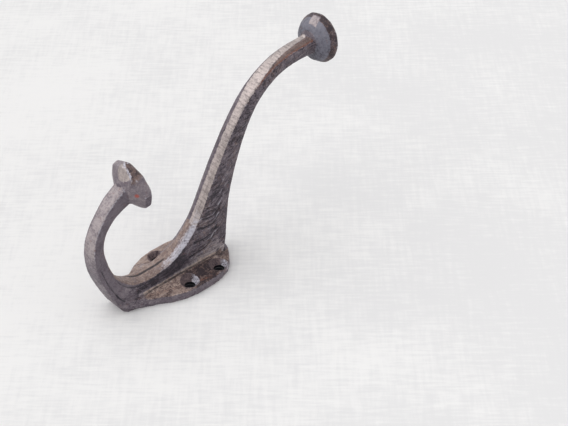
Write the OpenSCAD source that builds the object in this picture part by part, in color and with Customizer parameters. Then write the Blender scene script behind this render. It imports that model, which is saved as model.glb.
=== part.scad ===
// Coat hook: one iron sand casting, a four-hole wall plate with a wide upper
// arm for hats and a lower hook for coats, each ending in a mushroom knob.
// Millimetres. The frame is the mounted one: the plate's back lies on y = 0
// and faces +Y, the hook stands out along -Y, +Z is up the wall, and the
// origin is the centre of the four screw holes on the back face.

/* [Plate] */
// Widest part of the plate, across the holes
plate_w = 40; // [36:0.5:46]
// Top of the plate above the centre of the holes
plate_top = 24; // [22:0.5:27]
// Bottom tip of the plate below the centre of the holes
plate_tip = 46; // [44:0.5:50]
// Thickness of the plate at its rim
plate_t = 4.6; // [3.6:0.2:6]
// Width of the square end at the bottom tip
tip_w = 13; // [11:0.5:16]
// How far the front of the spine stands out from the wall at the plate
spine_h = 12.6; // [11:0.2:15]
// Height above the wall at which the flanks meet the plate
toe_h = 6.4; // [5.6:0.1:7.6]

/* [Screw holes] */
// Distance from a hole's centre to the side edge of the plate
hole_edge = 6.5; // [5.6:0.1:7.5]
// Distance between the holes up the plate
hole_span_z = 19.6; // [16:0.2:22]
// Diameter of the screw hole
hole_d = 5.6; // [4.5:0.1:6.5]
// Diameter of the countersink at the plate's face
sink_d = 9.8; // [8.5:0.1:11]
// Depth of the countersink
sink_h = 2.8; // [1.8:0.1:3.2]

/* [Upper arm] */
// How far the front of the upper arm stands out from the wall
arm_reach = 104; // [92:1:116]
// Height of the upper arm's end above the centre of the holes
arm_rise = 89; // [80:1:98]
// Width of the arm's front face
arm_w = 8; // [6.6:0.2:9.4]
// Depth of the arm where it is thinnest, front to back
arm_d = 7.6; // [6.4:0.2:9]

/* [Lower hook] */
// How far the lower knob's rim stands out from the wall
hook_reach = 83; // [76:0.5:90]
// Lowest point of the lower hook, below the centre of the holes
hook_drop = 60; // [57:0.5:66]
// Width of the lower hook's outer face
hook_w = 8.6; // [7:0.2:10.4]
// Depth of the lower hook where it is thinnest, inside to outside
hook_d = 7.6; // [6.2:0.2:9]

/* [Knobs] */
// Diameter of the upper knob across its corners
upper_knob_d = 26.6; // [23:0.5:29]
// Diameter of the lower knob across its corners
lower_knob_d = 26.4; // [23:0.5:29]
// Diameter of the neck under each knob
neck_d = 9.2; // [8:0.2:11]
// Height of the band around each knob
band_h = 3.6; // [2.6:0.2:5]
// Height of the cone from the neck to the band
cone_h = 5.2; // [4.4:0.2:7]
// Rise of the knob's face above the band
crown_h = 2.6; // [1.6:0.1:3.6]

/* [Gouged decoration] */
// Number of gouges on each flank
gouge_n = 12; // [10:1:12]
// Width of a gouge at the surface
gouge_w = 1.9; // [1.2:0.1:2.4]
// Depth of a gouge
gouge_d = 0.9; // [0.5:0.05:1.4]

/* [Hidden] */
hole_span_x = plate_w - 2 * hole_edge;
upper_tilt = -5;              // degrees that the upper knob leans to the wall
lower_tilt = 12;              // degrees that the lower knob leans from the wall
// Each size against the one that the stations below are drawn for.
ky = arm_reach / 104;
kz = arm_rise / 89;
hy = hook_reach / 83;
hz = hook_drop / 60;
aw = arm_w / 7.4;
ad = arm_d / 7;
hw = hook_w / 8.6;
hd = hook_d / 7.6;
pw = plate_w / 40;
sy = spine_h / 12.6;
up_top = plate_top / 24;
up_tip = plate_tip / 46;
steps = 3;                    // sections between two stations
iron = [0.36, 0.33, 0.31];

// Stations of the whole spine in the plane through its middle, from the lower
// hook's end round the hook, up the plate and along the upper arm. Each is a
// point on the inside of the hook or the front of the arm [out, up], the point
// opposite it on the outside or the back [out, up], and the half widths at the
// first corner, the middle and the second corner.
hook_stations = [
    [61.8, -34.6, 73.4, -37.4, 3.2, 4.5, 4.1],
    [58.6, -42.0, 67.6, -45.8, 3.0, 4.4, 4.0],
    [54.2, -47.4, 61.2, -51.6, 2.9, 4.3, 3.9],
    [49.0, -50.8, 53.6, -56.8, 3.0, 4.3, 4.0],
    [42.4, -52.2, 44.6, -59.6, 3.1, 4.5, 4.4],
    [35.2, -51.2, 34.0, -59.7, 3.3, 4.8, 5.2],
    [28.2, -49.3, 24.0, -57.4, 3.6, 5.2, 6.0],
    [22.2, -46.6, 13.0, -53.0, 4.1, 5.8, 6.8],
    [17.6, -42.4, 4.4, -48.6, 4.6, 6.0, 7.4],
    [14.0, -36.6, 1.0, -42.0, 4.9, 6.0, 8.4],
    [12.6, -29.0, 1.0, -32.0, 4.8, 6.0, 12.0],
    [13.0, -21.5, 1.1, -21.5, 4.7, 5.9, 16.0]
];
arm_stations = [
    [15.4, -13.4, 1.2, -10.0, 4.6, 5.9, 17.5],
    [20.4, -5.6, 1.3, 3.0, 4.5, 6.0, 17.0],
    [27.0, 1.0, 1.6, 14.6, 4.3, 6.0, 10.0],
    [34.4, 6.2, 6.0, 21.4, 4.1, 5.8, 6.2],
    [42.7, 10.9, 18.0, 23.2, 3.9, 5.5, 5.4],
    [51.5, 15.8, 35.0, 25.2, 3.8, 5.2, 5.0],
    [60.4, 21.0, 49.9, 29.2, 3.7, 5.1, 4.8],
    [69.2, 26.4, 60.8, 33.5, 3.6, 4.9, 4.6],
    [77.4, 32.1, 70.8, 38.2, 3.6, 4.8, 4.5],
    [85.4, 38.6, 79.6, 43.4, 3.6, 4.7, 4.5],
    [92.3, 45.8, 86.8, 49.8, 3.6, 4.6, 4.4],
    [97.7, 54.4, 91.9, 57.0, 3.7, 4.6, 4.3],
    [101.4, 63.6, 95.2, 65.0, 3.8, 4.6, 4.3],
    [103.4, 74.0, 96.8, 74.6, 3.9, 4.6, 4.3],
    [104.2, 87.0, 97.0, 87.0, 4.0, 4.7, 4.3]
];

function lerp(a, b, t) = a + (b - a) * t;

// A smooth curve through the stations, by Catmull and Rom's rule.
function through(p, i, t) =
    let (n = len(p) - 1,
         a = p[max(i - 1, 0)], b = p[i], c = p[min(i + 1, n)], d = p[min(i + 2, n)])
    0.5 * (2 * b + (c - a) * t + (2 * a - 5 * b + 4 * c - d) * t * t
           + (3 * b - a - 3 * c + d) * t * t * t);
function smooth(p) = concat(
    [for (i = [0 : len(p) - 2], s = [0 : steps - 1]) through(p, i, s / steps)],
    [p[len(p) - 1]]);

// One section: a flat strip at the front with a sloping face beside it, a
// flank that ends in a toe, and a crowned back. On the plate the toe lies at
// its own height above the wall, and the back is a low crown on the plate.
function share(x, from, to) = min(1, max(0, (x - from) / (to - from)));
function toe_share(s) =
    s[2] > 12 ? 0.6 : lerp((s[0] - toe_h) / (s[0] - s[2]), 0.6, share(s[2], 2, 12));
function half_section(s) =
    let (toe = toe_share(s)) [
    [0.00, 0.46 * s[4]],
    [0.07, s[4]],
    [0.50 * toe, lerp(s[4], s[5], 0.6)],
    [toe, s[5]],
    [lerp(toe, 0.94, 0.35), lerp(s[5], s[6], 0.55)],
    [0.94, s[6]],
    [1.00, 0.5 * s[6]]
];
function ring(s) =
    let (h = half_section(s))
    concat(
        [for (q = h) [q[1], -lerp(s[0], s[2], q[0]), lerp(s[1], s[3], q[0])]],
        [for (i = [len(h) - 1 : -1 : 0])
            let (q = h[i]) [-q[1], -lerp(s[0], s[2], q[0]), lerp(s[1], s[3], q[0])]]);

// The solid through a row of sections.
module loft(stations) {
    rings = [for (s = smooth(stations)) ring(s)];
    n = len(rings[0]);
    k = len(rings);
    points = [for (r = rings, p = r) p];
    walls = [for (i = [0 : k - 2], j = [0 : n - 1])
        let (a = i * n + j, b = i * n + (j + 1) % n, c = a + n, d = b + n)
        each [[a, d, b], [a, c, d]]];
    first = [for (j = [0 : n - 1]) j];
    last = [for (j = [n - 1 : -1 : 0]) (k - 1) * n + j];
    polyhedron(points, concat(walls, [first, last]), convexity = 8);
}

// The sizes put into the stations. far is 0 at the plate and 1 once a section
// is clear of it, so the root follows the plate and the rest its own sizes.
function root_z(z) = z < 0 ? up_tip : up_top;
function sized_arm() = [for (s = arm_stations)
    let (far = share(s[2], 4, 54),
         up = root_z(s[1]),
         front = [s[0] * lerp(sy, ky, far), s[1] * lerp(up, kz, far)],
         depth = [s[2] - s[0], s[3] - s[1]],
         back = lerp([s[2] * sy, s[3] * root_z(s[3])], front + depth * ad, far))
    concat(front, back, [s[4] * aw, s[5] * lerp(pw, aw, far), s[6] * lerp(pw, aw, far)])];
function sized_hook() = [for (s = hook_stations)
    let (far = share(s[2], 1, 21),
         outside = [s[2] * lerp(sy, hy, far), s[3] * lerp(up_tip, hz, far)],
         depth = [s[0] - s[2], s[1] - s[3]],
         inside = lerp([s[0] * sy, s[1] * up_tip], outside + depth * hd, far))
    concat(inside, outside,
           [s[4] * lerp(aw, hw, far), s[5] * lerp(pw, hw, far), s[6] * lerp(pw, hw, far)])];
spine = concat(sized_hook(), sized_arm());

// A point on the arm's flank as [out, up, half width], at a place along the
// arm's stations and a share of the depth from front to back.
function on_flank(place, t) =
    let (i = len(hook_stations) + place,
         s = through(spine, floor(i), i - floor(i)))
    [lerp(s[0], s[2], t), lerp(s[1], s[3], t), lookup(t, half_section(s))];
// The ends of gouge k: the row starts low on the web and runs up the arm, each
// gouge a little shorter than the last.
function gouge_low(k) =
    on_flank(0.9 + 0.68 * k, max(0.45 - 0.2 * k, 0.1 + 0.013 * k));
function gouge_high(k) = on_flank(2.95 + 0.525 * k, 0.56);

// Outline of the plate, right half, from the tip up, then mirrored. The wing's
// lower edge is drawn as shares of the way from the tip to the widest point,
// and its upper edge as shares of the half width and of the top's height.
tip = [0.5 * tip_w, 0.12 * tip_w - plate_tip];
wing = [plate_w / 2, -0.2 * plate_tip];
lower_edge = [[0.07, 0.12], [0.27, 0.28], [0.47, 0.44], [0.73, 0.60], [0.91, 0.79]];
upper_edge = [[1, 0.02], [0.955, 0.29], [0.85, 0.54], [0.66, 0.73], [0.43, 0.88],
              [0.28, 0.96], [0.15, 1]];
plate_half = concat(
    [[0.35 * tip_w, -plate_tip], tip],
    [for (f = lower_edge) [lerp(tip[0], wing[0], f[0]), lerp(tip[1], wing[1], f[1])]],
    [wing],
    [for (f = upper_edge) [wing[0] * f[0], plate_top * f[1]]]);
module plate_outline() {
    n = len(plate_half);
    polygon(concat(plate_half,
        [for (i = [n - 1 : -1 : 0]) [-plate_half[i][0], plate_half[i][1]]]));
}
module plate() {
    rotate([90, 0, 0])
        linear_extrude(height = plate_t) plate_outline();
}

// Screw holes, each with its countersink from the front.
module screw_holes() {
    for (x = [-1, 1], z = [-1, 1])
        translate([x * hole_span_x / 2, 0, z * hole_span_z / 2]) rotate([90, 0, 0]) {
            translate([0, 0, -1]) cylinder(h = plate_t + 12, d = hole_d);
            translate([0, 0, plate_t - sink_h])
                cylinder(h = sink_h + 0.01, d1 = hole_d, d2 = sink_d);
            translate([0, 0, plate_t]) cylinder(h = 9, d = sink_d);
        }
}

// A mushroom knob on an axis that starts at the neck: a cone of flats, a band
// that widens from the share low of the radius, and a low crown.
module knob(d, sides, low) {
    r = d / 2;
    cylinder(h = cone_h * 0.5, d1 = neck_d, r2 = r * low * 0.68, $fn = sides);
    translate([0, 0, cone_h * 0.5])
        cylinder(h = cone_h * 0.5, r1 = r * low * 0.68, r2 = r * low, $fn = sides);
    translate([0, 0, cone_h]) cylinder(h = band_h, r1 = r * low, r2 = r, $fn = sides);
    translate([0, 0, cone_h + band_h])
        cylinder(h = crown_h, r1 = r, r2 = r * 0.6, $fn = sides);
}

// A knob on the end section s of the spine, at the share at of its depth. Its
// neck starts a little short of the end, so the two are one body.
module knob_on(s, at, tilt, d, sides, turned, low) {
    foot = lerp([s[0], s[1]], [s[2], s[3]], at);
    sink = cone_h * 0.3;
    translate([0, -foot[0], foot[1]]) rotate([tilt, 0, 0]) rotate([0, 0, turned])
        translate([0, 0, -sink]) knob(d, sides, low);
}

// A gouge is a long V-shaped cut laid along the flank, from one point of the
// flank [out, up, half width] to another.
module gouge(a, b) {
    v = b - a;
    len_v = norm(v);
    translate([a[2] + 0.5, -a[0], a[1]])
        rotate([atan2(v[0], v[1]), 0, 0]) rotate([0, asin(v[2] / len_v), 0])
            scale([gouge_d + 0.5, gouge_w / 2, 1]) cylinder(h = len_v, r = 1, $fn = 4);
}

module hook() {
    color(iron) difference() {
        union() {
            plate();
            loft(spine);
            knob_on(spine[len(spine) - 1], 0.37, upper_tilt, upper_knob_d, 12, 15, 0.88);
            knob_on(spine[0], 0.62, lower_tilt, lower_knob_d, 8, 0, 0.98);
        }
        screw_holes();
        for (k = [0 : gouge_n - 1], m = [0, 1])
            mirror([m, 0, 0]) gouge(gouge_low(k), gouge_high(k));
    }
}

hook();
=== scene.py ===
"""Coat hook: the look of one iron sand casting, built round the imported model.

Everything is in metres in the row frame: the plate's back lies on y = 0, the
hook stands out along -Y, and +Z is up the wall. Sizes in the classes are in
millimetres, as on a drawing, and are scaled once, when a mesh is made.
"""

import logging
import math
from dataclasses import dataclass, field
from enum import Enum
from typing import Any, Callable, Sequence

import bmesh
import bpy
import numpy as np
from mathutils import Matrix, Vector


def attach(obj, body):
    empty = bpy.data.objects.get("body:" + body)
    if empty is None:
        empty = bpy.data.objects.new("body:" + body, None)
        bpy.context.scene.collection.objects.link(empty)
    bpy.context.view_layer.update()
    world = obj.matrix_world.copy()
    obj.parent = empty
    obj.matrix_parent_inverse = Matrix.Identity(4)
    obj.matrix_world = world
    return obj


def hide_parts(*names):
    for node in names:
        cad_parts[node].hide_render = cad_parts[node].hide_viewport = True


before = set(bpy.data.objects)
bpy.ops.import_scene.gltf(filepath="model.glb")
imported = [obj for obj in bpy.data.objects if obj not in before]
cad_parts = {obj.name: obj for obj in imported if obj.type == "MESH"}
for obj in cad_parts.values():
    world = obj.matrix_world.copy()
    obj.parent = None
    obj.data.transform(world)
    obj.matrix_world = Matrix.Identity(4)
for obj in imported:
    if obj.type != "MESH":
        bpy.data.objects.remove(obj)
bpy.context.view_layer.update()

LOG = logging.getLogger("coat_hook")
MM = 0.001
BOARD_GAP = 0.15 * MM  # from the plate's back to the board
# Attributes of the casting that start at nothing, in the order of writing.
ATTRIBUTES = ("brown", "blue", "highlight_and_wear", "sink", "turned", "bore", "red", "rust", "comb", "busy")
Rgb = tuple[float, float, float]


# ---------------------------------------------------------------- node trees


class Graph:
    """A node tree that is written with one call for each node."""

    def __init__(self, tree: bpy.types.NodeTree) -> None:
        """Keeps the tree that the calls add to.

        Args:
            tree: A shader or geometry node tree.
        """
        self.tree = tree

    def add(
        self, kind: str, ins: dict[Any, Any] | None = None, out: Any = 0, **settings: Any
    ) -> bpy.types.NodeSocket:
        """Adds one node.

        Args:
            kind: The node's type name.
            ins: Values or sockets for its inputs, by name or number.
            out: The output that is wanted, by name or number.
            **settings: The node's own properties.

        Returns:
            The wanted output socket.
        """
        node = self.tree.nodes.new(kind)
        for name, value in settings.items():
            setattr(node, name, value)
        for key, value in (ins or {}).items():
            self.feed(node.inputs[key], value)
        return node.outputs[out] if len(node.outputs) else node

    def feed(self, socket: bpy.types.NodeSocket, value: Any) -> None:
        """Links a socket to an input, or writes a value on it."""
        if isinstance(value, bpy.types.NodeSocket):
            self.tree.links.new(value, socket)
        else:
            socket.default_value = value

    def math(self, operation: str, *values: Any, clamp: bool = False) -> bpy.types.NodeSocket:
        """Adds a Math node.

        Args:
            operation: The node's operation.
            *values: One to three numbers or sockets.
            clamp: Whether the result is kept from 0 to 1.

        Returns:
            The result's socket.
        """
        return self.add(
            "ShaderNodeMath", dict(enumerate(values)), operation=operation, use_clamp=clamp
        )

    def vector(self, operation: str, *values: Any, out: Any = 0) -> bpy.types.NodeSocket:
        """Adds a Vector Math node and returns its output."""
        return self.add("ShaderNodeVectorMath", dict(enumerate(values)), out, operation=operation)

    def combine(self, x: Any, y: Any, z: Any) -> bpy.types.NodeSocket:
        """Joins three numbers to a vector."""
        return self.add("ShaderNodeCombineXYZ", {0: x, 1: y, 2: z})

    def step(self, value: Any, low: Any, high: Any) -> bpy.types.NodeSocket:
        """A smooth step of a value.

        Args:
            value: The number that steps.
            low: Where the result is 0.
            high: Where the result is 1, which may be below low.

        Returns:
            A socket from 0 to 1.
        """
        return self.add(
            "ShaderNodeMapRange",
            {0: value, 1: low, 2: high, 3: 0.0, 4: 1.0},
            interpolation_type="SMOOTHSTEP",
        )

    def noise(
        self, where: Any, scale: float, detail: float = 3.0, rough: float = 0.5, warp: float = 0.0
    ) -> bpy.types.NodeSocket:
        """Adds a noise texture.

        Args:
            where: The vector that it reads.
            scale: How fine it is, in cycles for each unit of the vector.
            detail: Number of octaves.
            rough: Weight of the finer octaves.
            warp: How much the noise distorts itself.

        Returns:
            A socket of values around 0.5.
        """
        values = {"Vector": where, "Scale": scale, "Detail": detail, "Roughness": rough}
        return self.add("ShaderNodeTexNoise", values | {"Distortion": warp})

    def attribute(self, name: str, kind: str = "FLOAT") -> bpy.types.NodeSocket:
        """Reads a named attribute of the geometry."""
        return self.add("GeometryNodeInputNamedAttribute", {"Name": name}, data_type=kind)

    def mix(self, share: Any, first: Any, second: Any, mode: str = "MIX") -> bpy.types.NodeSocket:
        """Mixes two colours by a share and returns the result."""
        return self.add(
            "ShaderNodeMix",
            {0: share, 6: colour(first), 7: colour(second)},
            2,
            data_type="RGBA",
            blend_type=mode,
        )

    def blend(self, share: Any, first: Any, second: Any) -> bpy.types.NodeSocket:
        """Mixes two numbers by a share and returns the result."""
        return self.add("ShaderNodeMix", {0: share, 2: first, 3: second}, 0, data_type="FLOAT")


def colour(value: Any) -> Any:
    """A colour with its fourth number, or the socket as it is."""
    return (*value, 1.0) if isinstance(value, tuple) and len(value) == 3 else value


def blank_material(name: str) -> tuple[bpy.types.Material, Graph]:
    """Makes a material with an empty node tree.

    Args:
        name: The material's name.

    Returns:
        The material, and the graph that writes its nodes.
    """
    material = bpy.data.materials.new(name)
    material.use_nodes = True
    material.node_tree.nodes.clear()
    return material, Graph(material.node_tree)


class Modifier:
    """A geometry node tree with named inputs, run once on an object."""

    def __init__(self, name: str, inputs: dict[str, tuple[str, Any]]) -> None:
        """Starts a tree whose first input and only output are geometry.

        Args:
            name: The tree's name.
            inputs: Socket type and starting value of each named input.
        """
        self.tree = bpy.data.node_groups.new(name, "GeometryNodeTree")
        face = self.tree.interface
        face.new_socket("Geometry", in_out="INPUT", socket_type="NodeSocketGeometry")
        face.new_socket("Geometry", in_out="OUTPUT", socket_type="NodeSocketGeometry")
        for label, (kind, value) in inputs.items():
            socket = face.new_socket(label, in_out="INPUT", socket_type=kind)
            if value is not None:
                socket.default_value = value
        self.graph = Graph(self.tree)
        self.source = self.tree.nodes.new("NodeGroupInput")
        self.sink = self.tree.nodes.new("NodeGroupOutput")

    def value(self, label: str) -> bpy.types.NodeSocket:
        """The socket that carries a named input."""
        return self.source.outputs[label]

    def finish(self, geometry: bpy.types.NodeSocket, material: bpy.types.NodeSocket) -> None:
        """Ends the tree in real geometry with its material.

        Args:
            geometry: What the tree has made.
            material: The socket that carries the material.
        """
        real = self.graph.add("GeometryNodeRealizeInstances", {"Geometry": geometry})
        done = self.graph.add("GeometryNodeSetMaterial", {"Geometry": real, "Material": material})
        self.tree.links.new(done, self.sink.inputs[0])

    def run(self, target: bpy.types.Object, **values: Any) -> bpy.types.Object:
        """Runs the tree on an object and keeps the result as its plain mesh.

        Args:
            target: The object that the tree works on.
            **values: Values of the named inputs, with _ for a space.

        Returns:
            The same object, with its new mesh and no modifier.
        """
        modifier = target.modifiers.new(self.tree.name, "NODES")
        modifier.node_group = self.tree
        known = {
            item.name.replace(" ", "_"): item.identifier
            for item in self.tree.interface.items_tree
            if item.item_type == "SOCKET" and item.in_out == "INPUT"
        }
        for label, value in values.items():
            modifier[known[label]] = value
        return settle(target)


# --------------------------------------------------------------- mesh helpers


def link(name: str, mesh: bpy.types.Mesh) -> bpy.types.Object:
    """Puts a mesh in the scene as an object at the origin."""
    made = bpy.data.objects.new(name, mesh)
    bpy.context.scene.collection.objects.link(made)
    return made


def mesh_of(
    name: str, points: Any, faces: Sequence[Any] = (), edges: Sequence[Any] = ()
) -> bpy.types.Object:
    """Makes an object from points in millimetres.

    Args:
        name: The object's name.
        points: Rows of x, y and z in millimetres.
        faces: Corner numbers of each face.
        edges: Point numbers of each loose edge.

    Returns:
        The new object, in metres.
    """
    mesh = bpy.data.meshes.new(name)
    mesh.from_pydata((np.asarray(points, float) * MM).tolist(), list(edges), list(faces))
    mesh.update()
    return link(name, mesh)


def ring_faces(count: int, rings: int) -> list[tuple[int, ...]]:
    """Faces of stacked rings of points, closed by a flat face on each end.

    Args:
        count: Points on each ring.
        rings: Number of rings.

    Returns:
        The point numbers of the two end faces, then of those between rings.
    """
    faces = [tuple(range(count)), tuple(range((rings - 1) * count, rings * count))]
    for ring in range(rings - 1):
        low, high = ring * count, (ring + 1) * count
        for i in range(count):
            after = (i + 1) % count
            faces.append((low + i, low + after, high + after, high + i))
    return faces


def settle(target: bpy.types.Object) -> bpy.types.Object:
    """Turns an object's modifiers into its plain mesh and removes them."""
    bpy.context.view_layer.update()
    graph = bpy.context.evaluated_depsgraph_get()
    mesh = bpy.data.meshes.new_from_object(
        target.evaluated_get(graph), preserve_all_data_layers=True, depsgraph=graph
    )
    old = target.data
    target.modifiers.clear()
    target.data = mesh
    bpy.data.meshes.remove(old)
    return target


def drop(*objects: bpy.types.Object) -> None:
    """Removes objects that have done their work."""
    for item in objects:
        mesh = item.data
        bpy.data.objects.remove(item)
        bpy.data.meshes.remove(mesh)


def outward(target: bpy.types.Object, weld: float = 1e-7) -> bpy.types.Object:
    """Merges a mesh's doubled points and turns its faces outwards."""
    bm = bmesh.new()
    bm.from_mesh(target.data)
    bmesh.ops.remove_doubles(bm, verts=bm.verts, dist=weld)
    bmesh.ops.recalc_face_normals(bm, faces=bm.faces)
    bm.to_mesh(target.data)
    bm.free()
    return target


def joined(name: str, parts: Sequence[bpy.types.Object]) -> bpy.types.Object:
    """Copies several objects into one mesh and removes them.

    Args:
        name: The new object's name.
        parts: Objects that stand unturned at the origin.

    Returns:
        The object that holds all of them.
    """
    bm = bmesh.new()
    for part in parts:
        bm.from_mesh(part.data)
    mesh = bpy.data.meshes.new(name)
    bm.to_mesh(mesh)
    bm.free()
    drop(*parts)
    return link(name, mesh)


def rows_of(mesh: bpy.types.Mesh, key: str) -> np.ndarray:
    """One vector of each of a mesh's points, as rows."""
    flat = np.empty(len(mesh.vertices) * 3, np.float32)
    mesh.vertices.foreach_get(key, flat)
    return flat.reshape(-1, 3).astype(float)


def points_of(mesh: bpy.types.Mesh) -> np.ndarray:
    """A mesh's points as rows of millimetres."""
    return rows_of(mesh, "co") / MM


def normals_of(mesh: bpy.types.Mesh) -> np.ndarray:
    """A mesh's point normals as rows."""
    return rows_of(mesh, "normal")


def write(mesh: bpy.types.Mesh, name: str, values: np.ndarray) -> None:
    """Stores a number or a vector at each point of a mesh.

    Args:
        mesh: The mesh that gets the attribute.
        name: The attribute's name.
        values: One number, or one row of three, for each point.
    """
    vector = values.ndim == 2
    kind = "FLOAT_VECTOR" if vector else "FLOAT"
    layer = mesh.attributes.get(name) or mesh.attributes.new(name, kind, "POINT")
    layer.data.foreach_set("vector" if vector else "value", values.astype(np.float32).ravel())


def relaxed(mesh: bpy.types.Mesh, points: np.ndarray, rounds: int, pull: float = 0.5) -> np.ndarray:
    """Points after each has moved towards the mean of its neighbours.

    Args:
        mesh: The mesh that says which points are neighbours.
        points: Where the points start.
        rounds: How often they move.
        pull: Share of the way that they move each time.

    Returns:
        The moved points.
    """
    flat = np.empty(len(mesh.edges) * 2, np.int32)
    mesh.edges.foreach_get("vertices", flat)
    a, b = flat.reshape(-1, 2).T
    count = len(points)
    degree = np.bincount(a, minlength=count) + np.bincount(b, minlength=count)
    for _ in range(rounds):
        total = np.stack(
            [
                np.bincount(a, points[b, k], count) + np.bincount(b, points[a, k], count)
                for k in range(3)
            ],
            1,
        )
        points = points + pull * (total / np.maximum(degree, 1)[:, None] - points)
    return points


def step(values: Any, low: Any, high: Any) -> np.ndarray:
    """A smooth step from 0 at low to 1 at high, which may be below low."""
    t = np.clip((np.asarray(values, float) - low) / (np.asarray(high, float) - low), 0.0, 1.0)
    return t * t * (3.0 - 2.0 * t)


# ------------------------------------------------------------------ the spine


class Side(Enum):
    """The two flanks of the casting."""

    NEAR = 1.0
    FAR = -1.0


@dataclass
class Spine:
    """The one bar that runs from the lower hook up the plate into the arm.

    Each station is a point on the inside of the hook or the front of the arm
    [out, up], the opposite point on the outside or the back [out, up], and the
    half widths at the front corner, the middle and the back corner.
    """

    hook: list[list[float]] = field(
        default_factory=lambda: [
            [61.8, -34.6, 73.4, -37.4, 3.2, 4.5, 4.1],
            [58.6, -42.0, 67.6, -45.8, 3.0, 4.4, 4.0],
            [54.2, -47.4, 61.2, -51.6, 2.9, 4.3, 3.9],
            [49.0, -50.8, 53.6, -56.8, 3.0, 4.3, 4.0],
            [42.4, -52.2, 44.6, -59.6, 3.1, 4.5, 4.4],
            [35.2, -51.2, 34.0, -59.7, 3.3, 4.8, 5.2],
            [28.2, -49.3, 24.0, -57.4, 3.6, 5.2, 6.0],
            [22.2, -46.6, 13.0, -53.0, 4.1, 5.8, 6.8],
            [17.6, -42.4, 4.4, -48.6, 4.6, 6.0, 7.4],
            [14.0, -36.6, 1.0, -42.0, 4.9, 6.0, 8.4],
            [12.6, -29.0, 1.0, -32.0, 4.8, 6.0, 12.0],
            [13.0, -21.5, 1.1, -21.5, 4.7, 5.9, 16.0],
        ]
    )
    arm: list[list[float]] = field(
        default_factory=lambda: [
            [15.4, -13.4, 1.2, -10.0, 4.6, 5.9, 17.5],
            [20.4, -5.6, 1.3, 3.0, 4.5, 6.0, 17.0],
            [27.0, 1.0, 1.6, 14.6, 4.3, 6.0, 10.0],
            [34.4, 6.2, 6.0, 21.4, 4.1, 5.8, 6.2],
            [42.7, 10.9, 18.0, 23.2, 3.9, 5.5, 5.4],
            [51.5, 15.8, 35.0, 25.2, 3.8, 5.2, 5.0],
            [60.4, 21.0, 49.9, 29.2, 3.7, 5.1, 4.8],
            [69.2, 26.4, 60.8, 33.5, 3.6, 4.9, 4.6],
            [77.4, 32.1, 70.8, 38.2, 3.6, 4.8, 4.5],
            [85.4, 38.6, 79.6, 43.4, 3.6, 4.7, 4.5],
            [92.3, 45.8, 86.8, 49.8, 3.6, 4.6, 4.4],
            [97.7, 54.4, 91.9, 57.0, 3.7, 4.6, 4.3],
            [101.4, 63.6, 95.2, 65.0, 3.8, 4.6, 4.3],
            [103.4, 74.0, 96.8, 74.6, 3.9, 4.6, 4.3],
            [104.2, 87.0, 97.0, 87.0, 4.0, 4.7, 4.3],
        ]
    )
    arm_width: float = 8.0 / 7.4  # the arm's width and depth over the drawn ones
    arm_depth: float = 7.6 / 7.0
    toe_height: float = 6.4  # where the flanks meet the plate
    toe_low: float = 2.0  # back this far out: the toe still has its own height
    toe_high: float = 12.0  # back this far out: the toe is in mid flank
    toe_share: float = 0.6  # depth share of the toe in mid flank
    clear_low: float = 4.0  # back this far out: the arm starts to follow its own size
    clear_high: float = 54.0  # back this far out: it follows it in full
    steps: int = 8  # rings from one station to the next

    # Each corner of a half section: its depth as a + b * toe, then the shares
    # of the three half widths in its own half width.
    CORNERS = (
        (0.0, 0.0, 0.46, 0.0, 0.0),
        (0.07, 0.0, 1.0, 0.0, 0.0),
        (0.0, 0.5, 0.4, 0.6, 0.0),
        (0.0, 1.0, 0.0, 1.0, 0.0),
        (0.329, 0.65, 0.0, 0.45, 0.55),
        (0.94, 0.0, 0.0, 0.0, 1.0),
        (1.0, 0.0, 0.0, 0.0, 0.5),
    )

    @property
    def root(self) -> int:
        """Number of the arm's first station on the whole spine."""
        return len(self.hook)

    @property
    def last(self) -> int:
        """Number of the last station."""
        return len(self.hook) + len(self.arm) - 1

    def stations(self) -> np.ndarray:
        """All stations, with the arm's own width and depth put in."""
        rows = np.array(self.hook + self.arm)
        arm = rows[self.root :]
        clear = self.clear_high - self.clear_low
        far = np.clip((arm[:, 2:3] - self.clear_low) / clear, 0.0, 1.0)
        arm[:, 2:4] = arm[:, 0:2] + (arm[:, 2:4] - arm[:, 0:2]) * (1 + (self.arm_depth - 1) * far)
        arm[:, 4:5] *= self.arm_width
        arm[:, 5:7] *= 1 + (self.arm_width - 1) * far
        return rows

    def at(self, places: Any) -> np.ndarray:
        """Stations at any places along the spine, by Catmull and Rom's rule.

        Args:
            places: Station numbers, whole or not.

        Returns:
            One row of seven numbers for each place.
        """
        p = self.stations()
        places = np.atleast_1d(np.asarray(places, float))
        i = np.clip(np.floor(places).astype(int), 0, self.last - 1)
        t = (places - i)[:, None]
        a, b = p[np.maximum(i - 1, 0)], p[i]
        c, d = p[i + 1], p[np.minimum(i + 2, self.last)]
        return 0.5 * (
            2 * b
            + (c - a) * t
            + (2 * a - 5 * b + 4 * c - d) * t**2
            + (3 * b - a - 3 * c + d) * t**3
        )

    def toe(self, rows: np.ndarray) -> np.ndarray:
        """Depth share of each section's toe, where the flank meets the plate."""
        on_plate = (rows[:, 0] - self.toe_height) / (rows[:, 0] - rows[:, 2] + 1e-9)
        off = np.clip((rows[:, 2] - self.toe_low) / (self.toe_high - self.toe_low), 0.0, 1.0)
        mixed = on_plate * (1 - off) + self.toe_share * off
        return np.where(rows[:, 2] > self.toe_high, self.toe_share, mixed)

    def half_width(self, places: Any, share: Any) -> np.ndarray:
        """Half width of the spine at places along it and shares of its depth."""
        rows = self.at(places)
        toe = self.toe(rows)
        share = np.broadcast_to(np.asarray(share, float), toe.shape)
        depths = np.stack([a + b * toe for a, b, *_ in self.CORNERS], 1)
        widths = np.stack([rows[:, 4:7] @ np.array(c[2:]) for c in self.CORNERS], 1)
        return np.array([np.interp(s, d, w) for s, d, w in zip(share, depths, widths)])

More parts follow.
